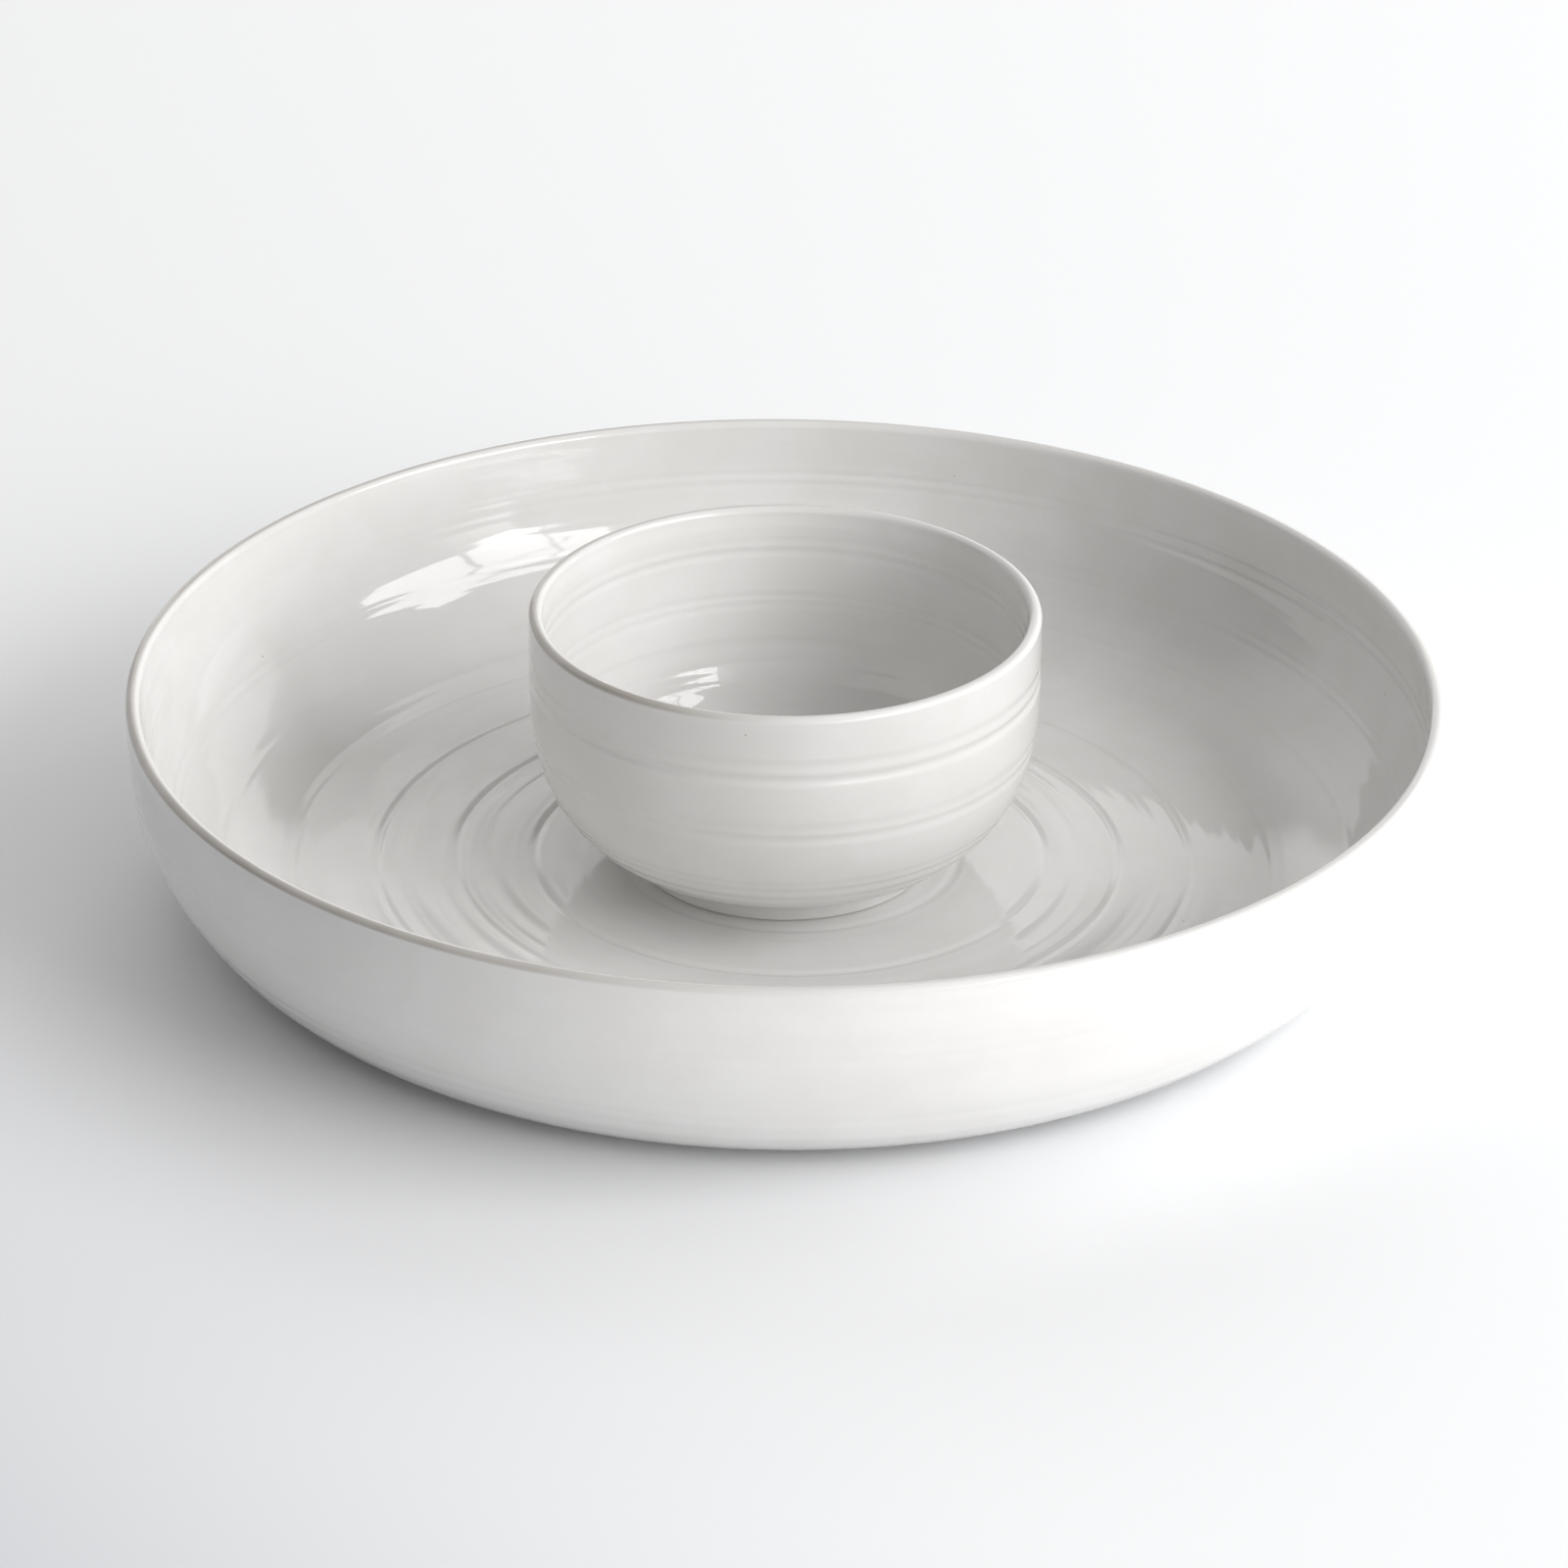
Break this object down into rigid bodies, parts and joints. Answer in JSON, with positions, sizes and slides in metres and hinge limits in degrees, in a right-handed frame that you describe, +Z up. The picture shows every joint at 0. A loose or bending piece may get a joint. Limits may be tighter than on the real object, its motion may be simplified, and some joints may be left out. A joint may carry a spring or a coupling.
{
  "type": "chip and dip server",
  "caption": "Wide shallow porcelain serving bowl with a small dip bowl that stands loose on the middle of its floor and lifts out.",
  "frame": {"origin": "on the table, at the middle of the chip bowl's foot ring", "axes": "+Z up along the axis that both bowls are turned about; X and Y are level and equal"},
  "size_m": [0.33, 0.33, 0.0774],
  "materials": {
    "chip_bowl_glaze": "glossy white glaze with faint throwing rings, bare on the foot ring",
    "dip_bowl_glaze": "glossy white glaze with paired grooves, bare on the foot ring"
  },
  "bodies": {
    "server": {"chip_bowl": "chip_bowl_glaze"},
    "dip": {"dip_bowl": "dip_bowl_glaze"}
  },
  "joints": [
    {"name": "dip_bowl_lift", "type": "slide", "parent": "server", "child": "dip", "axis": [0, 0, 1], "range_m": [0, 0.12]}
  ]
}
